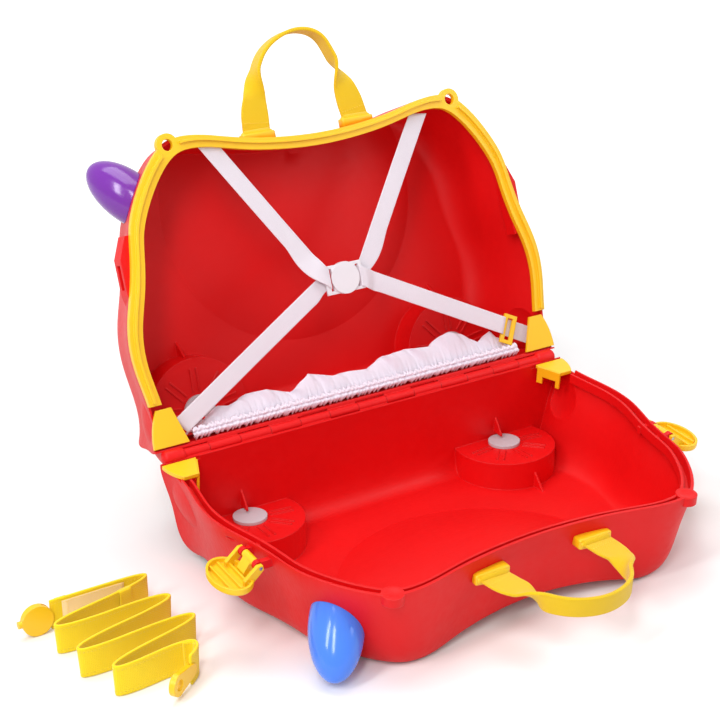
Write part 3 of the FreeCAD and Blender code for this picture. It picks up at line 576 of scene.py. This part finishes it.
def sew_along(name, stations, across, side, spacing, body, slot):
    """Row of stitches along one side of a band, at a distance across it."""
    line = [centre + wide * across + normal * (side * thickness / 2)
            for centre, wide, normal, width, thickness in stations]
    outs = [normal * side for centre, wide, normal, width, thickness in stations]
    return add_piece(name, *stitches(line, outs, spacing), THREAD, body, slot)


def sew_across(name, station, inset, side, spacing, body, slot):
    """Row of stitches across one side of a band, up to an inset from its edges."""
    centre, wide, normal, width, thickness = station
    middle = centre + normal * (side * thickness / 2)
    reach = wide * (width / 2 - inset)
    line = [middle - reach, middle, middle + reach]
    return add_piece(name, *stitches(line, [normal * side] * 3, spacing), THREAD, body, slot)


# Tow strap, folded to and fro on its edge on the floor, with a patch, two hems and a keeper

TOW_WIDTH, TOW_THICKNESS = 26 * MM, 2.2 * MM
TOW_BEAD = 0.35
TOW_SEAM_ACROSS, TOW_STITCH = 9.6 * MM, 3 * MM
TOW_SWAY, TOW_SWAY_RATE = 0.05, 38.0
LAYER_INSET, LAYER_STITCH = 1.4 * MM, 2.2 * MM
PATCH_START, PATCH_END = 8 * MM, 66 * MM
PATCH_WIDTH, PATCH_THICKNESS = 20 * MM, 0.7 * MM
TOW_HEM_WIDTH, TOW_HEM_THICKNESS = TOW_WIDTH - 1 * MM, 1.6 * MM
CLIP_HEM_START, CLIP_HEM_END = 1 * MM, 16 * MM
# Measured back from the end at the hook
HOOK_HEM_START, HOOK_HEM_END = 32 * MM, 16 * MM
KEEPER_AT, KEEPER_WIDTH, KEEPER_THICKNESS = 112 * MM, 12 * MM, 1.2 * MM
KEEPER_LOWER, KEEPER_STAND_OFF = 0.6 * MM, 1.6 * MM
KEEPER_UPRIGHT, KEEPER_ROUND, KEEPER_TILT = 0.35, 0.5, 0.4
KEEPER_STEPS = 48
UP = Vector((0.0, 0.0, 1.0))

# Points of the folded route in millimetres, as x and as y from the hinge
TOW_ROUTE = ((-332, -41), (-250, -38), (-249, -51), (-341, -71), (-342, -84), (-249, -79), (-248, -92),
             (-340, -113), (-340, -126), (-246, -117), (-245, -130), (-328, -151), (-328, -163),
             (-264, -153), (-261, -166), (-275, -176))

tow_line = smooth_path([Vector((x * MM, HINGE.y + y * MM, TOW_WIDTH / 2)) for x, y in TOW_ROUTE])
tow_run = travelled(tow_line)
tow_ways = tangents(tow_line)


def tow_station(i, offset, width, thickness):
    """Station of the tow strap or of something sewn on its side."""
    sway = TOW_SWAY * math.sin(TOW_SWAY_RATE * tow_run[i])
    normal = tow_ways[i].cross(UP).normalized()
    wide = (UP + normal * sway).normalized()
    return tow_line[i] + normal * offset, wide, normal, width, thickness


def tow_layer(name, start, end, side, width, thickness, material):
    """Flat piece sewn on one side of the tow strap between two distances, with its border seam."""
    inside = [i for i, far in enumerate(tow_run) if start <= far <= end]
    offset = side * (TOW_THICKNESS + thickness) / 2
    stations = [tow_station(i, offset, width, thickness) for i in inside]
    add_piece(name, *strip(stations), material, "tow_strap", "yellow_webbing")
    for row, edge in (("upper", 1), ("lower", -1)):
        across = edge * (width / 2 - LAYER_INSET)
        sew_along(name + "_seam_" + row, stations, across, side, LAYER_STITCH,
                                    "tow_strap", "yellow_webbing")
    for row, station in (("start", stations[1]), ("end", stations[-2])):
        sew_across(name + "_seam_" + row, station, LAYER_INSET, side, LAYER_STITCH,
                                     "tow_strap", "yellow_webbing")


def tow_keeper():
    """Loop of narrow webbing round the tow strap."""
    i = nearest(tow_run, KEEPER_AT)
    centre, wide, normal, broad, thick = tow_station(i, 0, TOW_WIDTH, TOW_THICKNESS)
    stations = []
    for k in range(KEEPER_STEPS + 1):
        turn = 2 * math.pi * k / KEEPER_STEPS
        up = wide * (power(math.cos(turn), KEEPER_UPRIGHT) * (broad / 2 - KEEPER_LOWER))
        aside = normal * (power(math.sin(turn), KEEPER_ROUND) * (thick / 2 + KEEPER_STAND_OFF))
        out = (wide * (math.cos(turn) ** 3 * KEEPER_TILT) + normal * math.sin(turn)).normalized()
        stations.append((centre + up + aside, tow_ways[i], out, KEEPER_WIDTH, KEEPER_THICKNESS))
    add_piece("tow_keeper", *strip(stations), WEBBING, "tow_strap", "yellow_webbing")


tow_stations = [tow_station(i, 0, TOW_WIDTH, TOW_THICKNESS) for i in range(len(tow_line))]
tow_strap = add_piece("tow_strap_webbing", *strip(tow_stations, bead=TOW_BEAD),
                      WEBBING, "tow_strap", "yellow_webbing")
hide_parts("tow_webbing")
for edge_name, edge in (("upper", 1), ("lower", -1)):
    for side_name, side in (("near", 1), ("far", -1)):
        sew_along("tow_seam_" + edge_name + "_" + side_name, tow_stations,
                                    edge * TOW_SEAM_ACROSS, side, TOW_STITCH, "tow_strap", "yellow_webbing")
tow_layer("tow_patch", PATCH_START, PATCH_END, 1, PATCH_WIDTH, PATCH_THICKNESS, PATCH)
tow_layer("tow_hem_clip", CLIP_HEM_START, CLIP_HEM_END, -1, TOW_HEM_WIDTH, TOW_HEM_THICKNESS, WEBBING)
tow_layer("tow_hem_hook", tow_run[-1] - HOOK_HEM_START, tow_run[-1] - HOOK_HEM_END, 1,
          TOW_HEM_WIDTH, TOW_HEM_THICKNESS, WEBBING)
tow_keeper()

# Elastic straps across the lid, fanned out of the buckle's slots to the corners

STRAP_THICKNESS = 1.3
STRAP_STEPS, STRAP_CROWDING = 90, 1.6
STRAP_BEAD = 0.2
STRAP_BOW = 0.5
STRAP_FAN = 34.0
STRAP_OVER, STRAP_UNDER = 4.9, 6.6
BAR_FRONT, BAR_RUN, BAR_RAMP = 1.25, 7.0, 16.0
SLOT_DEPTH, SLOT_RAMP = 5.0, 1.6
CLIP_AT, CLIP_DEPTH, CLIP_RAMP = 171, 5.5, 4.0


def strap_leg(name, node, slot, corner, over_bar, clip_at=None):
    """Band from a slot of the buckle to a corner of the lid, each given by its top and its foot."""
    slot_top, slot_foot = (Vector(place) for place in slot)
    corner_top, corner_foot = (Vector(place) for place in corner)
    at_slot = slot_foot - slot_top
    at_corner = corner_foot - corner_top
    edge = corner_top - slot_top
    stations = []
    for i in range(STRAP_STEPS + 1):
        share = (i / STRAP_STEPS) ** STRAP_CROWDING
        gone = share * edge.length
        turn = ease(gone / STRAP_FAN)
        wide = (at_slot.normalized() * (1 - turn) + at_corner.normalized() * turn).normalized()
        width = at_slot.length * (1 - turn) + at_corner.length * turn
        at = slot_top + edge * share + wide * (width / 2)
        w = (STRAP_OVER if over_bar else STRAP_UNDER) + STRAP_BOW * math.sin(math.pi * share)
        if over_bar:
            w += (BAR_FRONT - w) * (1 - ease((gone - BAR_RUN) / BAR_RAMP))
            w += SLOT_DEPTH * (1 - ease(gone / SLOT_RAMP))
        if clip_at is not None:
            w += CLIP_DEPTH * ease((gone - clip_at) / CLIP_RAMP)
        centre = lid_point(at.x, at.y, w)
        across = (lid_point(at.x + wide.x, at.y + wide.y, w) - centre).normalized()
        out = (lid_point(at.x, at.y, w - 1) - centre).normalized()
        stations.append((centre, across, out, width * MM, STRAP_THICKNESS * MM))
    leg = add_piece(name, *strip(stations, bead=STRAP_BEAD), ELASTIC, "lid", "white_cloth")
    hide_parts(node)


strap_leg("strap_upper_front", "strap_front", slot=((-14.6, 125), (-14.6, 107)),
          corner=((-97, 252), (-116, 252)), over_bar=True)
strap_leg("strap_lower_front", "strap_front", slot=((-18, 124), (-18, 108)),
          corner=((-187, 29), (-177, 16)), over_bar=False)
strap_leg("strap_upper_rear", "strap_rear", slot=((18, 125), (18, 108)),
          corner=((102, 250), (121, 248)), over_bar=False)
strap_leg("strap_lower_rear", "strap_rear", slot=((14.6, 125), (14.6, 106)),
          corner=((197, 30), (190, 15)), over_bar=True, clip_at=CLIP_AT)

# Gathered pocket and its ruffled hem beside the hinge in the lid

POCKET_HALF_LENGTH, HEM_HALF_LENGTH = 171, 173
POCKET_GRID, HEM_GRID = (420, 28), (1200, 16)
POCKET_THICKNESS, HEM_THICKNESS = 0.4 * MM, 0.6 * MM
POCKET_FOOT, POCKET_FALL = 15.5, 5
POCKET_FRONT, POCKET_DEPTH, POCKET_BACK = 9.5, 14, 18
POCKET_CREST = 1.5
FOLD_SLANT, FOLD_SLANT_FROM = 22, 0.25
TALL_FOLD, COMMON_HEIGHT = 0.14, 34
GATHER_FADE = 9
HEM_FOOT, HEM_HEIGHT = 9.8, 9.0
HEM_FRONT, HEM_BULGE = 7.4, 3.4
RUFFLE_SHARE, FINE_RUFFLE_SHARE = 0.44, 0.4
CHANNEL_DEPTH, CHANNEL_AT, CHANNEL_SHARE = 1.5, 0.55, 0.13

# Height, period, start, shift and rising share of the wide and the narrow folds
POCKET_FOLDS = ((4.2, 33, 0, 0.1, 0.3), (2.4, 14.5, 5, 0.4, 0.65))
# Height, period, and wander with its reach, of the coarse and the fine gathers
GATHERS = ((0.9, 5.2, 2, 11), (0.5, 3.1, 3, 23))
# Height, period, and period of a finer wave, of the two ruffles
LOWER_RUFFLE, UPPER_RUFFLE = (1.5, 4.9, 2.3), (1.1, 5.3, 2.6)
# Size, reach and shift of the waves by which the ruffles wander
RUFFLE_WANDER = ((1.9, 5.3, 0.0), (1.4, 2.3, 1.0))
# Places along the pocket with the height of the cloth there, as the photograph shows its peaks
HEIGHTS = ((-174, 14), (-140, 33), (-131, 31), (-112, 37), (-93, 37), (-69, 29), (-48, 41), (-25, 34),
           (-6, 34), (13, 32), (30, 40), (56, 41), (82, 38), (94, 45), (104, 47), (120, 42), (135, 31),
           (152, 38), (174, 18))


def pocket_height(x):
    """Height of the gathered cloth along the pocket."""
    for (x0, top0), (x1, top1) in zip(HEIGHTS, HEIGHTS[1:]):
        if x <= x1:
            break
    return top0 + (top1 - top0) * (x - x0) / (x1 - x0)


def pleat(x, period, shift, rise):
    """Lopsided fold from 0 to 1 that rises over a share of its period and falls over the rest."""
    share = (x / period + shift) % 1.0
    return ease(share / rise) if share < rise else 1 - ease((share - rise) / (1 - rise))


def gather(x, period, wander, reach):
    """Fine gather from -1 to 1 whose spacing wanders along the pocket."""
    return math.sin(2 * math.pi * (x + wander * math.sin(x / reach)) / period)


def pocket_point(a, b):
    """Cloth that stands up from the hem in tent-like folds and falls back to the hinge wall."""
    x = POCKET_HALF_LENGTH * (2 * a - 1)
    slanted = x + FOLD_SLANT * (b - FOLD_SLANT_FROM)
    top = pocket_height(x)
    rise = 1 - abs(2 * b - 1) ** POCKET_CREST
    near_hem = math.exp(-GATHER_FADE * b)
    gathers = near_hem * sum(height * gather(x, *wave) for height, *wave in GATHERS)
    folds = TALL_FOLD * (top - COMMON_HEIGHT)
    for height, period, start, shift, rising in POCKET_FOLDS:
        folds += height * (pleat(slanted + start, period, shift, rising) - 0.5)
    v = POCKET_FOOT - POCKET_FALL * b + (top - POCKET_FOOT) * rise
    w = POCKET_FRONT + POCKET_DEPTH * b + POCKET_BACK * ease(2 * b - 1) - folds * rise - gathers
    return lid_point(x, v, w)


def ruffle(x, wave, wander):
    """Wave of a ruffle with a finer wave on it."""
    height, period, fine_period = wave
    coarse = math.sin(2 * math.pi * x / period + wander)
    return height * (coarse + FINE_RUFFLE_SHARE * math.sin(2 * math.pi * x / fine_period))


def hem_point(a, b):
    """Band of two fluffy ruffles with a sewn channel between them."""
    x = HEM_HALF_LENGTH * (2 * a - 1)
    low = max(0.0, 1 - b / RUFFLE_SHARE)
    high = max(0.0, (b - 1 + RUFFLE_SHARE) / RUFFLE_SHARE)
    wander = sum(size * math.sin(x / reach + shift) for size, reach, shift in RUFFLE_WANDER)
    lower = ruffle(x, LOWER_RUFFLE, wander)
    upper = ruffle(x, UPPER_RUFFLE, 1.0 - wander)
    channel = math.exp(-((b - CHANNEL_AT) / CHANNEL_SHARE) ** 2)
    v = HEM_FOOT + HEM_HEIGHT * b - low * lower + high * upper
    w = HEM_FRONT - HEM_BULGE * math.sin(math.pi * b) ** 0.5 + CHANNEL_DEPTH * channel
    w += low ** 0.5 * lower + high ** 0.5 * upper
    return lid_point(x, v, w)


def thicken(piece, thickness):
    """Gives a sheet its thickness, half to each side."""
    solid = piece.modifiers.new("thickness", "SOLIDIFY")
    solid.thickness = thickness
    solid.offset = 0.0


pocket = add_piece("pocket_gathers", *grid(*POCKET_GRID, pocket_point), CLOTH, "lid", "white_cloth")
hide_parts("pocket_cloth")
thicken(pocket, POCKET_THICKNESS)
hem = add_piece("pocket_ruffle", *grid(*HEM_GRID, hem_point), CLOTH, "lid", "white_cloth")
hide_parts("pocket_hem")
thicken(hem, HEM_THICKNESS)

# Hinge: lips of the lid's wall above the base's knuckles, and the ends of the barrel

KNUCKLES = 13
HINGE_HALF_SPAN = 194.0
LIP_INNER, LIP_OUTER, LIP_CLEARANCE = 4.8, 7.0, 0.3
LIP_START, LIP_TURN, LIP_STEPS = math.radians(8), math.radians(42), 8
BARREL_RADIUS, BARREL_START, BARREL_END = 6.8, 186, 208


def hinge_lips():
    """Curved lips that close the gaps above every second knuckle, which are the base's."""
    turns = [LIP_START + LIP_TURN * k / LIP_STEPS for k in range(LIP_STEPS + 1)]
    profile = [(LIP_INNER * math.cos(turn), LIP_INNER * math.sin(turn)) for turn in turns]
    profile += [(LIP_OUTER * math.cos(turn), LIP_OUTER * math.sin(turn)) for turn in reversed(turns)]
    pitch = 2 * HINGE_HALF_SPAN / KNUCKLES
    verts, faces = [], []
    for i in range(0, KNUCKLES, 2):
        first = len(verts)
        start = i * pitch - HINGE_HALF_SPAN
        for x in (start + LIP_CLEARANCE, start + pitch - LIP_CLEARANCE):
            verts += [lid_point(x, v, w) for v, w in profile]
        faces += [tuple(first + k for k in face) for face in tube_faces(2, len(profile))]
    add_piece("hinge_lips", verts, faces, [(0.0, 0.0)] * len(verts), RED, "lid", "red_shell")


hinge_lips()
for end_name, side in (("front", -1), ("rear", 1)):
    start, end = (base_point(side * x, 0, 0) for x in (BARREL_START, BARREL_END))
    add_piece("hinge_end_" + end_name, *bar(start, end, BARREL_RADIUS * MM), RED, "base", "red_shell")

# Carry handles: webbing that lies flat at its ends and is folded double on edge in the grip

HANDLE_DEPTH, HANDLE_FOOT = 17.0, 255.2
HANDLE_HALF_SPAN = 51
HANDLE_BEAD = 0.25
FOOT_WIDTH, FOOT_THICKNESS = 27, 1.9
GRIP_WIDTH, GRIP_THICKNESS = 16.5, 3.4
TWIST_START, TWIST_SHARE = 0.13, 0.14
FOLD_START, FOLD_SHARE = 0.06, 0.16
HANDLE_BAR_HALF, HANDLE_BAR_RADIUS = 15.5, 2.6
ROLL_HALF, ROLL_RADIUS = 14, 4.2
HANDLE_SEAM_AT, HANDLE_SEAM_INSET, HANDLE_STITCH = 9 * MM, 1.5 * MM, 2.4 * MM
SOCKET_HALF_LENGTH, SOCKET_HALF_DEPTH, SOCKET_TOP = 16.5, 5.0, 256.2
SOCKET_BEVEL, SOCKET_SIDES, SOCKET_SQUARENESS = 1.4, 40, 0.3
WALL_MIDDLE, WALL_RISE, WALL_TAPER = 247.9, 0.115, 0.067

# Routes of x along the hinge and v up in the half, from the front foot to the rear foot
BASE_ROUTE = ((-HANDLE_HALF_SPAN, HANDLE_FOOT), (-50, 268), (-42, 284), (-39, 304), (-22, 322), (4, 330),
              (32, 322), (47, 302), (54, 284), (52, 268), (HANDLE_HALF_SPAN, HANDLE_FOOT))
LID_ROUTE = ((-HANDLE_HALF_SPAN, HANDLE_FOOT), (-50, 270), (-46, 288), (-43, 308), (-28, 330), (2, 342),
             (28, 336), (38, 314), (43, 296), (48, 274), (HANDLE_HALF_SPAN, HANDLE_FOOT))


def saddle_wall(x, w):
    """Height of the middle of the saddle's wall where a handle stands on it."""
    return WALL_MIDDLE + WALL_RISE * (abs(x) - HANDLE_HALF_SPAN) - WALL_TAPER * (w - HANDLE_DEPTH)


def socket(point_at, x):
    """Moulded socket on the saddle round the lugs that hold one end of a handle."""
    rounding = [(SOCKET_BEVEL * inset, SOCKET_TOP - SOCKET_BEVEL * drop)
                for inset, drop in ((0.0, 1.0), (0.12, 0.5), (0.5, 0.12), (1.0, 0.0))]
    verts = []
    for inset, height in [(0.0, None)] + rounding:
        for k in range(SOCKET_SIDES):
            turn = 2 * math.pi * (k + 0.5) / SOCKET_SIDES
            along = x + (SOCKET_HALF_LENGTH - inset) * power(math.cos(turn), SOCKET_SQUARENESS)
            deep = HANDLE_DEPTH + (SOCKET_HALF_DEPTH - inset) * power(math.sin(turn), SOCKET_SQUARENESS)
            up = saddle_wall(along, deep) if height is None else height
            verts.append(point_at(along, up, deep))
    return verts, tube_faces(1 + len(rounding), SOCKET_SIDES), [(0.0, 0.0)] * len(verts)


def handle_stations(point_at, route):
    """Stations of a handle's webbing, which twists on edge and folds double towards the grip."""
    line = smooth_path([point_at(x, v, HANDLE_DEPTH) for x, v in route])
    run = travelled(line)
    deep = (point_at(0, 0, 1) - point_at(0, 0, 0)).normalized()
    stations = []
    for centre, far, along in zip(line, run, tangents(line)):
        near_end = min(far, run[-1] - far) / run[-1]
        turn = math.pi / 2 * ease((near_end - TWIST_START) / TWIST_SHARE)
        fold = ease((near_end - FOLD_START) / FOLD_SHARE)
        wide = along.cross(deep).normalized() * math.cos(turn) + deep * math.sin(turn)
        width = FOOT_WIDTH * (1 - fold) + GRIP_WIDTH * fold
        thickness = FOOT_THICKNESS * (1 - fold) + GRIP_THICKNESS * fold
        stations.append((centre, wide, along.cross(wide).normalized(), width * MM, thickness * MM))
    return stations, run


def handle(body, half, point_at, route):
    """Strap loop along a route in its half, with a rolled end on a bar in a socket at each foot."""
    stations, run = handle_stations(point_at, route)
    loop = add_piece(body + "_strap", *strip(stations, bead=HANDLE_BEAD), HANDLE, body, "yellow_soft")
    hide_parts(body)
    for foot, x in (("front", -HANDLE_HALF_SPAN), ("rear", HANDLE_HALF_SPAN)):
        for kind, reach, radius, material in (("_bar_", HANDLE_BAR_HALF, HANDLE_BAR_RADIUS, YELLOW),
                                              ("_roll_", ROLL_HALF, ROLL_RADIUS, HANDLE)):
            ends = [point_at(x + side * reach, HANDLE_FOOT, HANDLE_DEPTH) for side in (-1, 1)]
            add_piece(body + kind + foot, *bar(*ends, radius * MM), material, body, "yellow_soft")
        add_piece(body + "_socket_" + foot, *socket(point_at, x), YELLOW, half, "yellow_plastic")
    for foot, seam_at in (("front", HANDLE_SEAM_AT), ("rear", run[-1] - HANDLE_SEAM_AT)):
        station = stations[nearest(run, seam_at)]
        for side_name, side in (("near", 1), ("far", -1)):
            sew_across(body + "_seam_" + foot + "_" + side_name, station, HANDLE_SEAM_INSET, side,
                       HANDLE_STITCH, body, "yellow_soft")


handle("handle_base", "base", base_point, BASE_ROUTE)
handle("handle_lid", "lid", lid_point, LID_ROUTE)
